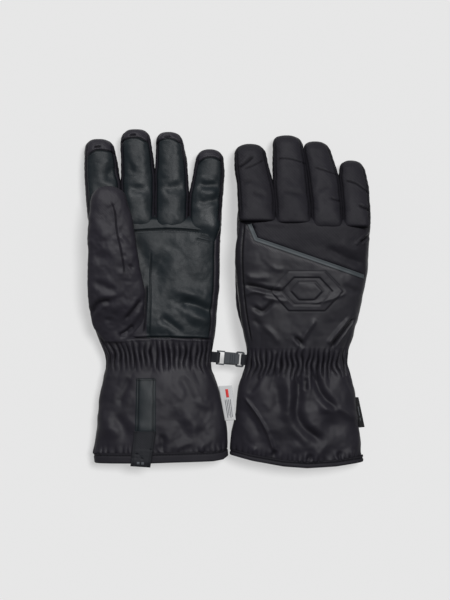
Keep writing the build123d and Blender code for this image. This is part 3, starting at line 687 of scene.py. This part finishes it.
# ------------------------------------------------------------------ fingers
def finger(glove, name):
    """One finger from inside the hand to its tip, in two pieces that meet between the two joints."""
    g = GLOVES[glove]
    (tip_y, outline), palm = g["fingers"][name], g["palm"]
    knuckle, bend = joint_y(f"{glove}_{name}_base_curl"), joint_y(f"{glove}_{name}_tip_curl")
    root = knuckle - 16.0
    ys, scale = rows_to_end(root, tip_y, 10.5, 0.7, 26, 2.65)
    lo, hi = both(outline, ys)
    inside = 1 - ease(ys, root, knuckle + 4)
    order = FINGERS.index(name)
    closed = [1 - ease(ys, y - 5, y + 3) for y in TOUCH[glove]]
    lo = lo - 0.8 * closed[order - 1] if order > 0 else lo + 4.0 * inside ** 2
    hi = hi + 0.8 * closed[order] if order < 3 else hi - 4.0 * inside ** 2
    tall = np.interp(ys, [root, knuckle, bend, tip_y], [16.0, 16.2, 13.8, 11.8])
    tall = tall - (1.4 if name == "little" else 0) * (1 - inside)
    padded = 0.7 * np.abs(np.sin(np.pi * (ys - knuckle) / (bend - knuckle)))
    padded *= (ys > knuckle) & (ys < tip_y - 6)
    tall = (tall - 4.2 * inside ** 1.5 + padded) * scale ** 0.85
    half = (hi - lo) / 2 * scale
    power = np.interp(ys, [knuckle - 8, knuckle + 10], [5.0, 2.6])
    skin = tube(ys, (lo + hi) / 2, half, along(g["finger_z"], ys), tall, power, 132, cap_end=True)
    # on the back a finger starts with a pinched seam at the knuckles
    start = knuckle - 3.0 - (2.5 if name == "ring" else 0)
    back = ease(-skin.h * palm, 0.1, 0.5)
    height = -4.2 * (1 - ease(ys, start - 5.5, start + 1.5))[:, None] * back
    skin.shade += 0.85 * bump(ys - start + 1.4, 1.5)[:, None] * back
    run = (ease(ys, knuckle - 1, knuckle + 6) * (1 - ease(ys, tip_y - 9, tip_y - 3)))[:, None]
    from_seam = (np.abs(skin.e) - SEAM) * half.max()
    for up in (1, -1):
        face = "palm" if up == palm else "back"
        side = ease(skin.h * up, 0.0, 0.5)
        height += (-0.6 * bump(from_seam, 0.6) + 0.15 * bump(np.abs(from_seam) - 1.7, 1.1)) * side * run
        # painted shade in the side seams
        skin.shade += 0.5 * bump(from_seam, 0.6) * side * run
        shift = g["shift"] if face == "palm" else g["back_shift"]
        height += add_folds(skin, FINGER_FOLDS[name, face], up, shift)
    seed = 11 + 3 * order + (40 if glove == "right" else 0)
    height += wrinkle(skin, 13.0, 0.5, seed) + wrinkle(skin, 3.4, 0.10, seed + 5)
    walls = ease(np.abs(skin.e), 0.86, 0.97)
    height += 0.08 * np.cos(skin.p[..., 1] * 1.15 + 2.5 * noise(skin.p, 12, seed + 8)) * walls
    # painted shade down the side walls, where a finger meets its neighbours
    skin.shade += 0.55 * walls * ease(ys, knuckle - 2, knuckle + 4)[:, None]
    skin.push(height * ease(np.minimum(scale, 1), 0.1, 0.75)[:, None])

    middle = skin.at_quads(skin.p)
    e, h = skin.at_quads(np.abs(skin.e)), skin.at_quads(skin.h)
    leather_edge = FINGER_FOLDS[name, "palm"][0][0]
    leather_end = np.interp(middle[:, 0] - g["shift"], *zip(*leather_edge))
    leather_end += tip_y - GLOVES["left"]["fingers"][name][0]
    within = (e < SEAM + 0.01) | (middle[:, 1] < knuckle + 2)
    leather = (h * palm > 0) & within & (middle[:, 1] < leather_end)
    row = skin.row_y()
    split = (knuckle + bend) / 2
    materials = [NYLON if palm > 0 else SOFTSHELL, LEATHER]
    pieces = {"base": [skin.build(f"{glove}_{name}_base", materials, row < split, leather)],
              "tip": [skin.build(f"{glove}_{name}_fingertip", materials, row >= split, leather)]}
    surface = Surface(skin)
    for part, y0, y1 in (("base", knuckle + 4, split - 0.5), ("tip", split + 0.5, tip_y - 12)):
        y = np.arange(y0, y1, 3.0)
        lo, hi = both(outline, y)
        lines = [list(zip((lo + hi) / 2 + s * (hi - lo) / 2 * (SEAM - 0.10), y)) for s in (-1, 1)]
        for up in (1, -1):
            pieces[part].append(stitches(f"{glove}_{name}_{part}_thread", surface, lines, up, 2.4, 1.5, 0.18))
    return knuckle, bend, pieces["base"], pieces["tip"]


# ------------------------------------------------------------------ hand, wrist and cuff
def hem_shift(g, e):
    """How far the hem lies above its lowest place, across the cuff."""
    return np.interp((e + 1) / 2, *zip(*g["hem"])) - g["low"]


def body_tube(glove, ys, count, inset=0.0, scale=1.0, **caps):
    """A tube with the outline of the glove's hand, wrist and cuff, moved in by inset."""
    g = GLOVES[glove]
    lo, hi = both(g["outline"], ys, 3.5)
    first, last = joint_y(f"{glove}_index_base_curl"), joint_y(f"{glove}_little_base_curl")

    def warp(y, e, h):
        hem = hem_shift(g, e) * ease(-y, 35, -g["band"])
        slant = first + 2.6 - 130 + (last - first) * (e + 0.8) / 1.6
        return hem + ease(y, 60, 130) * (slant + 1.6 * h * g["palm"])

    z, tall = both(g["height"], ys)
    power = np.interp(ys, [-20, 30], [2.7, 3.0])
    half = (hi - lo) / 2 * (0.80 + 0.20 * np.broadcast_to(scale, len(ys)))
    return tube(ys, (lo + hi) / 2, half - inset, z, (tall - inset) * scale, power, count, warp, **caps)


def gathers(skin, g):
    """Height of the gathers of the elastic wrist; their valleys are shaded."""
    y = skin.p[..., 1]
    seed = 5 if g["palm"] > 0 else 9
    angle = skin.turn * 2 * np.pi
    place = np.stack([np.cos(angle) * 40, y * 0.9, np.sin(angle) * 40], -1)
    around = place * np.array([1, 0, 1])
    half = g["gather_half"]
    away = np.abs(y - g["wrist_y"]) / (1 + 0.22 * noise(around, 7, seed + 7))
    near = bump(away / half, 0.92) * (1 - ease(away, half * 0.7, half * 1.15))
    # 44 pleats round the wrist
    sway = 0.30 * noise(place, 9, seed) + 0.26 * noise(around, 6, seed + 5) * np.sin(y * 0.3)
    t = 2 * ((skin.turn * 44 + sway) % 1.0) - 1
    arch = np.sqrt(np.maximum(1 - (0.97 * t) ** 2, 0))
    uneven = 0.8 + 0.5 * noise(place, 7, seed + 2)
    skin.shade += 0.9 * ease(np.abs(t), 0.45, 1.0) * near
    # 13 wide lobes fan out of them into the hand and the cuff
    wide = np.abs(np.cos((skin.turn * 13 + 0.45 * noise(place, 30, seed + 4)) * np.pi)) - 0.6
    spread = bump(np.abs(y - g["wrist_y"]) - half, 13.0)
    lobes = 1.3 * wide * spread * (0.7 + 0.6 * noise(place, 26, seed + 6))
    return 3.7 * (arch - 0.74) * uneven * near + lobes


def motif(x, y):
    """A raised six-sided ring with a six-sided boss in it. Returns height and shade."""
    mx, my = (x - MOTIF_CENTRE[0]) / MOTIF_WIDE, (y - MOTIF_CENTRE[1]) / MOTIF_TALL
    six = np.maximum(np.abs(my), 0.866 * np.abs(mx) + 0.5 * np.abs(my))
    raised = ease(0.98 - six, 0, 0.05) * ease(six - 0.66, 0, 0.05) + ease(0.44 - six, 0, 0.05)
    edge = sum(bump(six - at, 0.035) for at in (0.98, 0.66, 0.44))
    return 0.8 * raised - 0.3 * edge, 0.26 * edge


def body_skin(glove):
    """The whole outer surface of a glove from above its hem to the roots of its fingers."""
    g = GLOVES[glove]
    palm, back_shift = g["palm"], g["back_shift"]
    ys, scale = rows_to_end(g["band"], 133, 10, 0.72, 22, 2.6)
    skin = body_tube(glove, ys, ROUND, scale=scale, cap_end=True)
    x, y = skin.p[..., 0], skin.p[..., 1]
    height = gathers(skin, g)
    for folds in (PALM_SEAMS + PALM_FOLDS, LEFT_CUFF_FOLDS):
        height += add_folds(skin, folds, palm, g["shift"])
    for folds in (BACK_SEAMS + BACK_FOLDS, RIGHT_CUFF_FOLDS):
        height += add_folds(skin, folds, -palm, back_shift)
    # a nylon strip runs up the outer side of the palm, sewn to the leather
    outer = x - (along(g["outline"], y, 2, 3.5) - STRIP)
    side = ease(skin.h * palm, 0.0, 0.4) * ease(y, 17, 24)
    height -= 0.8 * bump(outer, 0.75) * side
    # painted shade in the strip's seam
    skin.shade += 0.6 * bump(outer, 0.7) * side
    # the back: the piping lies in a groove, over a motif
    back = ease(-skin.h * palm, 0.2, 0.8)
    distance, _ = line_distance(x - back_shift, y, PIPING_LINE)
    height -= 1.0 * bump(distance, 2.4) * back
    # painted shade along the edges of the piping's groove
    skin.shade += 0.5 * bump(distance - 2.0, 0.7) * back
    raised, dark = motif(x - back_shift, y)
    height += raised * back
    skin.shade += dark * back
    # broad and small wrinkles: most of them in the cuff, fewest at the knuckles
    calm = 1 - 0.35 * ease(y, 80, 122)
    cuff_part = ease(-y, -g["wrist_y"] + 8, 40)
    seed = 71 if palm > 0 else 81
    height += wrinkle(skin, 25.0, 1.0, seed) * calm * (1 + 0.5 * cuff_part)
    height += wrinkle(skin, 8.5, 0.24, seed + 2) * calm * (1 + 0.5 * cuff_part)
    height += wrinkle(skin, 3.1, 0.07, seed + 4)
    # the shell is pulled in at the stitched hem, with small puckers above it
    above = y - (g["band"] + hem_shift(g, skin.e))
    pucker = np.abs(np.sin((skin.turn * 52 + 0.7 * noise(skin.p, 16, 3)) * np.pi))
    height += bump(above, 5.0) * (-0.7 + 1.4 * pucker * (0.6 + 0.6 * noise(skin.p, 20, 6)))
    # painted shade along the hem and between the puckers
    skin.shade += 0.75 * bump(above, 0.9) + 0.4 * bump(above, 3.0) * (1 - ease(pucker, 0.1, 0.5))
    skin.push(height * ease(scale, 0.1, 0.7)[:, None])
    skin.stay_above(LIFT)
    return skin


def split_body(glove, skin):
    """The pieces of the outer surface: cuff shell, wrist, palm, back and knuckle panels, and the piping."""
    g = GLOVES[glove]
    palm = g["palm"]
    row = skin.row_y()
    wrist_low, wrist_top = g["wrist_y"] - g["gather_half"], g["wrist_y"] + g["gather_half"] + 1.2
    middle = skin.at_quads(skin.p)
    e, h = skin.at_quads(skin.e), skin.at_quads(skin.h)
    in_hand = row >= wrist_top
    palm_side = (h * palm > 0) & (np.abs(e) < 0.955)
    x, y = middle[:, 0], middle[:, 1]
    # the leather ends at the strip on one side, and at the thumb's seam on the other
    in_strip = x >= along(g["outline"], y, 2, 3.5) - STRIP
    leather = palm_side & (x - g["shift"] > np.interp(y, [64, 74], [-73.7, -100])) & ~in_strip
    # the knuckle panel is all that lies beyond the piping
    turn, *rest = PIPING_LINE
    corner = rest[0]
    px = x - g["back_shift"]
    beyond = y > np.interp(px, *zip(*rest))
    beyond &= px > np.interp(y, [corner[1], turn[1]], [corner[0], turn[0]])
    knuckles = ~palm_side & (h * palm < 0) & beyond & (px < 121.5)
    fabric = NYLON if palm > 0 else BACK_NYLON
    surface = Surface(skin)
    piping = ribbon(f"{glove}_piping", surface, moved(PIPING_LINE, g["back_shift"]), 3.5, 0.8, -palm, PIPING)
    return dict(
        surface=surface,
        piping=piping,
        shell=skin.build(f"{glove}_shell", [CUFF_NYLON], row < wrist_low),
        wrist=skin.build(f"{glove}_wrist", [CUFF_NYLON], (row >= wrist_low) & (row < wrist_top)),
        palm=skin.build(f"{glove}_palm", [LEATHER, fabric], in_hand & palm_side, ~leather),
        back=skin.build(f"{glove}_back", [fabric], in_hand & ~palm_side & ~knuckles),
        knuckles=skin.build(f"{glove}_knuckles", [SOFTSHELL], in_hand & knuckles),
    )


def ribbon(name, surface, line, wide, thick, up, mat):
    """A narrow strip laid along a plan line on a surface."""
    run = resample(line, 1.0)
    count = 7
    grid = np.zeros((len(run), count, 3))
    for i, (x, y) in enumerate(run):
        a, b = run[max(i - 1, 0)], run[min(i + 1, len(run) - 1)]
        t = np.array([b[0] - a[0], b[1] - a[1]])
        side = np.array([-t[1], t[0]]) / np.linalg.norm(t)
        for k in range(count):
            q = np.array([x, y]) + side * (-1 + 2 * k / (count - 1)) * wide / 2
            hit, _ = surface.at(q[0], q[1], up)
            grid[i, k] = (q[0], q[1], hit.z if hit is not None else grid[i - 1, k, 2])
    for _ in range(3):
        grid[1:-1, :, 2] = (grid[:-2, :, 2] + grid[1:-1, :, 2] + grid[2:, :, 2]) / 3
    s = np.linspace(-1, 1, count)
    top, low = grid.copy(), grid.copy()
    top[..., 2] += up * (thick * 0.5 + 0.12 * (1 - s[None, :] ** 2))
    low[..., 2] -= up * thick * 0.6
    loop = np.concatenate([top, low[:, ::-1]], axis=1)
    if up < 0:
        loop = loop[:, ::-1]
    return Skin(loop, cap_end=True, cap_start=True).build(name, [mat])


def hem_binding(glove):
    """A tape folded round the edge of the cuff and sewn through near its upper edge."""
    g = GLOVES[glove]
    low, deep = g["low"], g["binding"]
    tape, radius, proud = 1.5, 1.5, 0.35
    outer = [(low + deep + 0.9 - s, proud) for s in np.linspace(0, deep + 0.9 - radius, 16)]
    turn = [(low + radius - radius * math.sin(a), proud - tape + tape * math.cos(a))
            for a in np.linspace(0.2, math.pi - 0.2, 9)]
    inner = [(low + radius + t, proud - 2 * tape) for t in np.linspace(0, deep - 0.5, 8)]
    y, out = np.array(outer + turn + inner)[::-1].T
    skin, inset = [body_tube(glove, np.maximum(y, low), ROUND, by) for by in (0.0, 3.0)]
    across = (skin.p - inset.p) / 3.0
    skin.p = skin.p + across * out[:, None, None]
    skin.p[..., 1] = y[:, None] + hem_shift(g, skin.e)
    from_top = (low + deep - y)[:, None] + 0 * skin.e
    outside = (out > 0)[:, None]
    height = 0.35 * noise(skin.p, 14, 21) + 0.14 * noise(skin.p, 4, 22)
    height -= 0.6 * bump(from_top - 1.6, 0.7) * outside
    skin.p = skin.p + across * height[..., None]
    skin.stay_above(0.1)
    # painted shade in the stitched groove and at the tape's top edge, where it meets the shell
    skin.shade += (0.55 * bump(from_top - 1.6, 0.6) + 0.5 * bump(from_top + 0.9, 0.5)) * outside
    line = []
    for s in np.linspace(0.06, 0.94, 60):
        at = float(np.interp(s, *zip(*g["hem"]))) + deep - 1.6
        lo, hi = map(float, both(g["outline"], at))
        line.append((lo + (hi - lo) * s, at))
    own = Surface(skin)
    threads = [stitches(f"{glove}_hem_thread", own, [line], up, 2.8, 1.8, 0.24) for up in (1, -1)]
    return join(f"{glove}_hem_binding_visual", [skin.build(f"{glove}_hem", [BINDING]), *threads])


def linings(glove):
    """The inner tubes: smooth cloth in the cuff, quilted fleece in the hand."""
    g = GLOVES[glove]
    skin = body_tube(glove, np.arange(g["low"] + 3.0, g["wrist_y"], 2.2), 130, 3.4)
    skin.push(wrinkle(skin, 16, 0.7, 31) + wrinkle(skin, 6, 0.25, 32))
    cuff = skin.build(f"{glove}_gauntlet_lining_visual", [LINING])
    ys, scale = rows_to_end(g["wrist_y"] - 0.5, 118, 12, 2.2, 10, 2.4)
    skin = body_tube(glove, ys, 130, 4.6, scale, cap_end=True)
    quilt = 0.9 * np.abs(np.sin(skin.p[..., 0] / 9)) ** 0.5
    skin.push(-(quilt - wrinkle(skin, 5, 0.3, 33)) * ease(scale, 0.1, 0.7)[:, None])
    return cuff, skin.build(f"{glove}_hand_lining_visual", [FLEECE])


# ------------------------------------------------------------------ thumb, folded over the palm
THUMB_TIP = 153.8
THUMB_OUTLINE = [
    (14, -116, -78), (24, -119.5, -76.5), (34, -122.4, -75.8), (46, -124.8, -75.2), (58, -126.0, -75.0),
    (68, -126.2, -76.0), (82, -126.2, -79.2), (94, -126.0, -81.8), (108, -125.6, -83.8),
    (123, -124.9, -85.6), (135, -123.6, -88.8), (145, -122.8, -92.0), (154, -122.0, -94.0)]
# height of its face and of its underside over the hand's axis
THUMB_HEIGHT = [
    (12, 14.4, 7.5), (20, 16.0, 8.2), (30, 19.2, 9.0), (42, 24.0, 11.4), (56, 28.6, 14.8), (70, 31.4, 16.6),
    (85, 33.6, 17.6), (100, 35.2, 17.6), (120, 36.0, 17.4), (140, 35.0, 17.2), (154, 33.4, 17.0)]


def thumb(glove):
    """The thumb in two pieces: the gusset that joins it to the hand, and its shell."""
    g = GLOVES[glove]
    palm, shift = g["palm"], g["shift"]
    ys, w = rows_to_end(15, THUMB_TIP, 13.0, 0.75, 28, 2.3)
    top, low = both(THUMB_HEIGHT, ys)
    axis = along(g["height"], ys, 1)
    if palm < 0:
        # under the lying hand the thumb is pressed flat, and drops away from the palm towards its tip
        drop = 0.14 * np.maximum(0, ys - 100)
        top = np.minimum(top + drop, axis - 0.4)
        low = np.maximum(np.minimum(low + drop, top - 7.0 - 10 * ease(ys, 20, 80)), 8.0)
    lo, hi = both(THUMB_OUTLINE, ys)
    half = (hi - lo) / 2 * w * (0.72 + 0.28 * np.sqrt(ease(ys, 13, 30)))
    middle = (top + low) / 2 + (w - 1) * 0.8
    tall = (top - low) / 2 * w ** 0.9
    skin = tube(ys, (lo + hi) / 2 + shift, half, axis + palm * middle, tall, 2.35, 190, cap_end=True)
    height = add_folds(skin, THUMB_SEAMS + THUMB_FOLDS, palm, shift)
    seed = 61 if palm > 0 else 65
    height += (wrinkle(skin, 15, 0.8, seed) + wrinkle(skin, 5.5, 0.26, seed + 1)
               + wrinkle(skin, 2.8, 0.08, seed + 2))
    # small puckers along its seam
    d, t = line_distance(skin.p[..., 0], skin.p[..., 1], moved(THUMB_SEAMS[0][0], shift))
    pucker = np.sin(t * 38 + 3 * noise(skin.p, 9, seed + 5))
    height += 0.28 * bump(d - 2.2, 2.0) * pucker * ease(skin.h * palm, 0, 0.4)
    skin.push(height * ease(w, 0.1, 0.7)[:, None])
    skin.stay_above(LIFT)
    in_gusset = skin.row_y() < 44
    return (skin.build(f"{glove}_thumb_gusset_visual", [NYLON], in_gusset),
            skin.build(f"{glove}_thumb_shell_visual", [NYLON], ~in_gusset))


# ------------------------------------------------------------------ straps, loops and labels
def slab(corners, height, thick, cols, rows, edge):
    """A thin strip over four plan corners, anticlockwise from top left; height(x, y, s, t) is its middle."""
    tl, tr, br, bl = [np.array(c, float) for c in corners]
    grid = np.zeros((rows, cols, 3))
    for i, t in enumerate(np.linspace(0, 1, rows)):
        left, right = tl + (bl - tl) * t, tr + (br - tr) * t
        for j, s in enumerate(np.linspace(0, 1, cols)):
            p = left + (right - left) * s
            grid[i, j] = (p[0], p[1], height(p[0], p[1], s, t))
    n = Skin(grid, closed=False).normals()
    n = n if n[..., 2].mean() > 0 else -n
    rim = np.minimum(np.minimum(np.arange(cols), np.arange(cols)[::-1])[None, :],
                     np.minimum(np.arange(rows), np.arange(rows)[::-1])[:, None])
    soft = np.where(rim == 0, edge, 1.0)[..., None] * thick / 2
    sheet = np.concatenate([grid + n * soft, (grid - n * soft)[:, ::-1]], axis=1)
    skin = Skin(sheet, cap_end=True, cap_start=True)
    s = np.linspace(-1, 1, cols)
    skin.s = np.concatenate([s, s[::-1]])[None, :] + np.zeros((rows, 1))
    skin.t = np.linspace(0, 1, rows)[:, None] + np.zeros((1, 2 * cols))
    return skin


def strap_and_loop(glove, surface):
    """The leather strap down the palm side of the cuff, and the webbing loop that hangs from its end."""
    g = GLOVES[glove]
    palm, shift = g["palm"], g["shift"]

    def over(extra, reach):
        """Heights extra above the mean of nine places on the cuff; where none is hit, above its rim."""
        def height(x, y, s, t):
            steps = (-reach, 0, reach)
            near = [surface.at(x + dx, y + dy, palm)[0] for dx in steps for dy in steps]
            near = [hit.z * palm for hit in near if hit is not None]
            if near:
                return (np.mean(near) + extra) * palm
            axis, half = both(g["height"], y)
            return axis + palm * (half + extra)
        return height

    corners = [(-83.2, -17.8), (-65.4, -17.8), (-65.2, -65.8), (-84.2, -65.8)]
    strap = slab(moved(corners, shift), over(0.25, 2.0), 1.0, 22, 60, 0.0)
    across = np.abs(strap.s)
    rim = across > 0.97
    strap.p[..., 2] += palm * (0.7 * (1 - across ** 2.5) - 0.55 * bump(across - 0.74, 0.07) - 0.5 * rim)
    # painted shade in the strap's stitch lines, at its top end and round its rim
    strap.shade += 0.6 * bump(across - 0.74, 0.06) + 0.6 * bump(strap.t - 0.035, 0.012) + 0.6 * rim
    strap_obj = strap.build(f"{glove}_pull_strap_visual", [LEATHER])

    follow, last = over(1.0, 4.0), g["low"] + 1.5

    def hang(x, y, s, t):
        return follow(x, max(y, last), s, t) - palm * 0.5 * max(0.0, last - y)

    corners = [(-84.8, -65.0), (-65.0, -65.0), (-70.4, -97.6), (-88.2, -96.4)]
    loop = slab(moved(corners, shift), hang, 1.5, 18, 44, 0.3)
    loop.p[..., 2] += palm * (0.35 * noise(loop.p, 13, 44) + 0.1 * noise(loop.p, 4, 45) + 0.3)
    # painted shade at the loop's top end and along its edges
    loop.shade += 0.5 * bump(loop.t - 0.03, 0.015) + 0.45 * bump(np.abs(loop.s) - 0.8, 0.05)
    pieces = [loop.build(f"{glove}_loop", [WEBBING])]
    if palm > 0:
        marks = [(s, s + 0.14, 0.86, 0.92, PRINT) for s in (0.30, 0.52)]
        pieces += label_print("loop_print", loop, 18, marks)
    return strap_obj, join(f"{glove}_pull_loop_visual", pieces)


def label_print(name, skin, cols, marks):
    """Thin printed marks on the face of a label: (s0, s1, t0, t1, material) in its own shares."""
    rows = skin.p.shape[0]
    top = skin.p[:, :cols]
    n = Skin(top, closed=False).normals()
    n = n if n[..., 2].mean() > 0 else -n
    made = []
    for s0, s1, t0, t1, mat in marks:
        grid = np.zeros((14, 4, 3))
        for i, t in enumerate(np.linspace(t0, t1, 14)):
            for j, s in enumerate(np.linspace(s0, s1, 4)):
                r, c = t * (rows - 1), s * (cols - 1)
                r0, c0 = min(int(r), rows - 2), min(int(c), cols - 2)
                fr, fc = r - r0, c - c0
                left, right = [top[r0, c] * (1 - fr) + top[r0 + 1, c] * fr for c in (c0, c0 + 1)]
                grid[i, j] = left * (1 - fc) + right * fc + n[r0, c0] * 0.02
        up = np.array([0, 0, 0.06])
        mark = Skin(np.concatenate([grid + up, (grid - up)[:, ::-1]], axis=1), cap_end=True, cap_start=True)
        made.append(mark.build(name, [mat]))
    return made


def care_label():
    """White satin label sewn in the seam, with plain bars where print would be."""
    corners = [(-9.4, -25.0), (2.5, -24.2), (6.0, -55.2), (-3.6, -56.2)]

    def height(x, y, s, t):
        return 25.6 + 4.0 * s + 1.0 * math.sin(2.2 * t + 0.6) + 0.4 * math.sin(6 * t + 2 * s)

    skin = slab(corners, height, 0.4, 14, 60, 0.8)
    lines = ((0.30, 0.93), (0.44, 0.86), (0.58, 0.94), (0.72, 0.90))
    marks = [(0.46, 0.68, 0.10, 0.34, RED), *[(s, s + 0.055, 0.40, end, PRINT) for s, end in lines]]
    made = label_print("left_care_print", skin, 14, marks)
    return join("left_care_label_visual", [skin.build("left_care_label_cloth", [WHITE]), *made])


def side_label():
    """Black satin label, with two plain bars where print would be."""
    corners = [(112.6, -35.0), (116.2, -35.0), (121.8, -61.8), (116.6, -62.4)]

    def height(x, y, s, t):
        return 25.2 + 0.5 * math.sin(3 * t)

    skin = slab(corners, height, 0.9, 8, 40, 0.5)
    marks = [(0.42, 0.52, *span, PRINT) for span in ((0.30, 0.62), (0.68, 0.78))]
    made = label_print("right_side_print", skin, 8, marks)
    return join("right_side_label_visual", [skin.build("right_side_label_cloth", [BLACK]), *made])


def rides(obj, body, node, slot):
    """The mesh moves with a body and stands for one of its nodes."""
    obj.name = f"{node}_visual"
    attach(obj, body)
    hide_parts(node)


def bends(obj, nodes):
    """The mesh keeps its place in the world and stands for some nodes, which are hidden."""
    obj.name = f"{nodes[0]}_visual"
    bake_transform(obj)
    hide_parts(*nodes)


def put_together(glove):
    g = GLOVES[glove]
    palm, shift = g["palm"], g["shift"]
    cuff, hand = f"{glove}_cuff", f"{glove}_hand"
    for name in FINGERS:
        knuckle, bend, base, tip = finger(glove, name)
        n = f"{glove}_{name}"
        base, tip = join(f"{n}_base", base), join(f"{n}_tip", tip)
        bends(base, [f"{n}_base_shell", f"{n}_base_lining"])
        bends(tip, [f"{n}_fingertip"])

    body = split_body(glove, body_skin(glove))
    surface = body["surface"]
    palm_lines = [moved(PALM_SEAMS[0][0][1:], shift, -1.9), moved(PALM_SEAMS[1][0], shift + 1.7)]
    back_lines = [moved(BACK_SEAMS[0][0], g["back_shift"] + 1.8)]
    palm_thread = stitches("palm_thread", surface, palm_lines, palm, radius=0.18)
    palm_panel = join("palm", [body["palm"], palm_thread])
    back_thread = stitches("back_thread", surface, back_lines, -palm, radius=0.18)
    back_panel = join("back", [body["back"], back_thread])
    gusset, thumb_shell = thumb(glove)
    cuff_lining, hand_lining = linings(glove)
    strap, loop = strap_and_loop(glove, surface)
    for obj, on, node, slot in (
        (palm_panel, hand, "palm_panel", "palm_leather"),
        (back_panel, hand, "back_panel", "softshell"),
        (body["knuckles"], hand, "knuckle_panel", "softshell"),
        (body["piping"], hand, "reflective_piping", "piping"),
        (gusset, hand, "thumb_gusset", "softshell"),
        (hand_lining, hand, "hand_lining", "fleece"),
        (body["shell"], cuff, "gauntlet_shell", "nylon"),
        (cuff_lining, cuff, "gauntlet_lining", "cuff_lining"),
        (hem_binding(glove), cuff, "hem_binding", "binding"),
        (strap, cuff, "pull_strap", "palm_leather"),
        (loop, f"{glove}_pull_loop", "pull_loop", "webbing"),
    ):
        rides(obj, on, f"{glove}_{node}", slot)
    bends(body["wrist"], [f"{glove}_wrist_elastic"])
    bends(thumb_shell, [f"{glove}_thumb_shell", f"{glove}_thumb_lining"])


for glove in GLOVES:
    put_together(glove)
rides(care_label(), "left_care_label", "left_care_label", "white_label")
rides(side_label(), "right_side_label", "right_side_label", "black_label")

# The clip and its webbing are shown as modelled, with their finishes.
CLIP_PIECES = {"clip_hook": CLIP, "clip_gate": CLIP, "clip_ring": RING, "left_clip_strap": WEBBING,
               "right_clip_strap": WEBBING}
for node, mat in CLIP_PIECES.items():
    slots = frame["nodes"][node].data.materials
    slots.clear()
    slots.append(mat)


# ------------------------------------------------------------------ floor, light and camera
def stage_floor():
    """A pale light-table floor, so that only the key light's small shadows show on it."""
    mesh = bpy.data.meshes.new("floor")
    corners = [(x, y, -0.0002) for x, y in ((-3, -3), (3, -3), (3, 3), (-3, 3))]
    mesh.from_pydata(corners, [], [(0, 1, 2, 3)])
    obj = bpy.data.objects.new("floor", mesh)
    bpy.context.scene.collection.objects.link(obj)
    pale = bpy.data.materials.new("pale_floor")
    pale.use_nodes = True
    shader = pale.node_tree.nodes["Principled BSDF"]
    for key, value in {"Base Color": (0.30, 0.30, 0.30, 1), "Roughness": 1.0, "Specular IOR Level": 0.0,
                       "Emission Color": (1, 1, 1, 1), "Emission Strength": 0.50}.items():
        shader.inputs[key].default_value = value
    mesh.materials.append(pale)
    return obj


floor = stage_floor()
not_floor = bpy.data.collections.new("lit_without_floor")
not_floor.objects.link(floor)
not_floor.collection_objects[0].light_linking.link_state = "EXCLUDE"


def sun(name, strength, tilt, towards, wide, floor_too):
    """A soft sun tilted away from straight down; towards is the bearing it shines from, from +X."""
    light = bpy.data.lights.new(name, "SUN")
    light.energy = strength
    light.angle = math.radians(wide)
    lamp = bpy.data.objects.new(name, light)
    lamp.rotation_euler = (0, math.radians(tilt), math.radians(towards))
    bpy.context.scene.collection.objects.link(lamp)
    if not floor_too:
        lamp.light_linking.receiver_collection = not_floor


sun("key", 2.9, 17, 40, 16, True)
sun("softbox", 3.0, 46, 108, 28, False)
world = bpy.data.worlds.new("studio")
bpy.context.scene.world = world
world.use_nodes = True
sky = world.node_tree.nodes["Background"].inputs
sky["Color"].default_value = (1, 1, 1, 1)
sky["Strength"].default_value = 0.11

camera_data = bpy.data.cameras.new("camera")
camera_data.lens = 150
camera = bpy.data.objects.new("camera", camera_data)
camera.location = ((-3.6 - ROW[0]) * 0.001, (52.2 - ROW[1]) * 0.001, 2.27)
bpy.context.scene.collection.objects.link(camera)
bpy.context.scene.camera = camera
bpy.context.scene.view_settings.view_transform = "Standard"
